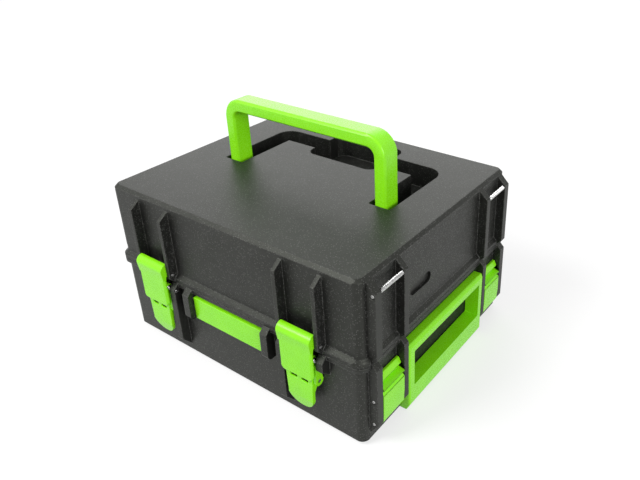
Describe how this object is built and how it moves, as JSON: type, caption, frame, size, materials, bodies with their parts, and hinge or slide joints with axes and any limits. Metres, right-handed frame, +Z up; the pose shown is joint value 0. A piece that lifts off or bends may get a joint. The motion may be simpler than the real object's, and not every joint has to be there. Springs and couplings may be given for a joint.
{
  "type": "hard tool case",
  "caption": "Rectangular hard tool case with a hinged lid, front draw latches, a folding top handle, side carrying handles and side latches for stacking.",
  "frame": {"origin": "centre of the underside of the base, on the floor", "axes": "+Z up through the lid, -Y towards the front with the draw latches, +X to the right seen from the front"},
  "size_m": [0.2444, 0.2082, 0.179],
  "materials": {
    "shell_plastic": "dark charcoal plastic with a fine sparkling grain",
    "green_plastic": "satin lime green plastic",
    "nameplate_plastic": "satin lime green plastic, bare",
    "steel_pin": "bright threaded steel"
  },
  "bodies": {
    "base": {"base_shell": "shell_plastic", "nameplate": "nameplate_plastic", "side_handle_pins": "steel_pin", "latch_base_pins": "steel_pin", "stack_pivot_pins": "steel_pin", "stack_park_pins": "steel_pin", "hinge_pins": "steel_pin"},
    "lid": {"lid_shell": "shell_plastic", "latch_keeper_pins": "steel_pin", "stack_catch_pins": "steel_pin", "top_handle_pins": "steel_pin"},
    "top_handle": {"top_handle": "green_plastic"},
    "side_handle_left": {"side_handle_left": "green_plastic"},
    "latch_link_left": {"latch_link_left": "green_plastic", "latch_pivot_pin_left": "steel_pin"},
    "latch_lever_left": {"latch_lever_left": "green_plastic"},
    "stack_latch_left_front": {"stack_latch_left_front": "green_plastic"},
    "stack_latch_left_rear": {"stack_latch_left_rear": "green_plastic"},
    "side_handle_right": {"side_handle_right": "green_plastic"},
    "latch_link_right": {"latch_link_right": "green_plastic", "latch_pivot_pin_right": "steel_pin"},
    "latch_lever_right": {"latch_lever_right": "green_plastic"},
    "stack_latch_right_front": {"stack_latch_right_front": "green_plastic"},
    "stack_latch_right_rear": {"stack_latch_right_rear": "green_plastic"}
  },
  "joints": [
    {"name": "lid_hinge", "type": "hinge", "parent": "base", "child": "lid", "pos_m": [0, 0.0995, 0.066], "axis": [-1, 0, 0], "range_deg": [0, 105]},
    {"name": "top_handle_fold", "type": "hinge", "parent": "lid", "child": "top_handle", "pos_m": [0, -0.0035, 0.1183], "axis": [-1, 0, 0], "range_deg": [0, 90]},
    {"name": "side_handle_left_swing", "type": "hinge", "parent": "base", "child": "side_handle_left", "pos_m": [-0.1189, 0, 0.053], "axis": [0, 1, 0], "range_deg": [0, 90]},
    {"name": "latch_link_left_swing", "type": "hinge", "parent": "base", "child": "latch_link_left", "pos_m": [-0.0697, -0.0978, 0.06], "axis": [-1, 0, 0], "range_deg": [0, 90]},
    {"name": "latch_lever_left_turn", "type": "hinge", "parent": "latch_link_left", "child": "latch_lever_left", "pos_m": [-0.0697, -0.0968, 0.0435], "axis": [-1, 0, 0], "range_deg": [-63, 0]},
    {"name": "stack_latch_left_front_swing", "type": "hinge", "parent": "base", "child": "stack_latch_left_front", "pos_m": [-0.1184, -0.0687, 0.017], "axis": [0, -1, 0], "range_deg": [0, 176]},
    {"name": "stack_latch_left_rear_swing", "type": "hinge", "parent": "base", "child": "stack_latch_left_rear", "pos_m": [-0.1184, 0.0687, 0.017], "axis": [0, -1, 0], "range_deg": [0, 176]},
    {"name": "side_handle_right_swing", "type": "hinge", "parent": "base", "child": "side_handle_right", "pos_m": [0.1189, 0, 0.053], "axis": [0, -1, 0], "range_deg": [0, 90]},
    {"name": "latch_link_right_swing", "type": "hinge", "parent": "base", "child": "latch_link_right", "pos_m": [0.0697, -0.0978, 0.06], "axis": [-1, 0, 0], "range_deg": [0, 90]},
    {"name": "latch_lever_right_turn", "type": "hinge", "parent": "latch_link_right", "child": "latch_lever_right", "pos_m": [0.0697, -0.0968, 0.0435], "axis": [-1, 0, 0], "range_deg": [-63, 0]},
    {"name": "stack_latch_right_front_swing", "type": "hinge", "parent": "base", "child": "stack_latch_right_front", "pos_m": [0.1184, -0.0687, 0.017], "axis": [0, 1, 0], "range_deg": [0, 176]},
    {"name": "stack_latch_right_rear_swing", "type": "hinge", "parent": "base", "child": "stack_latch_right_rear", "pos_m": [0.1184, 0.0687, 0.017], "axis": [0, 1, 0], "range_deg": [0, 176]}
  ],
  "couplings": [
    {"joint": "latch_lever_left_turn", "follows": "latch_link_left_swing", "ratio": -0.7},
    {"joint": "latch_lever_right_turn", "follows": "latch_link_right_swing", "ratio": -0.7}
  ]
}
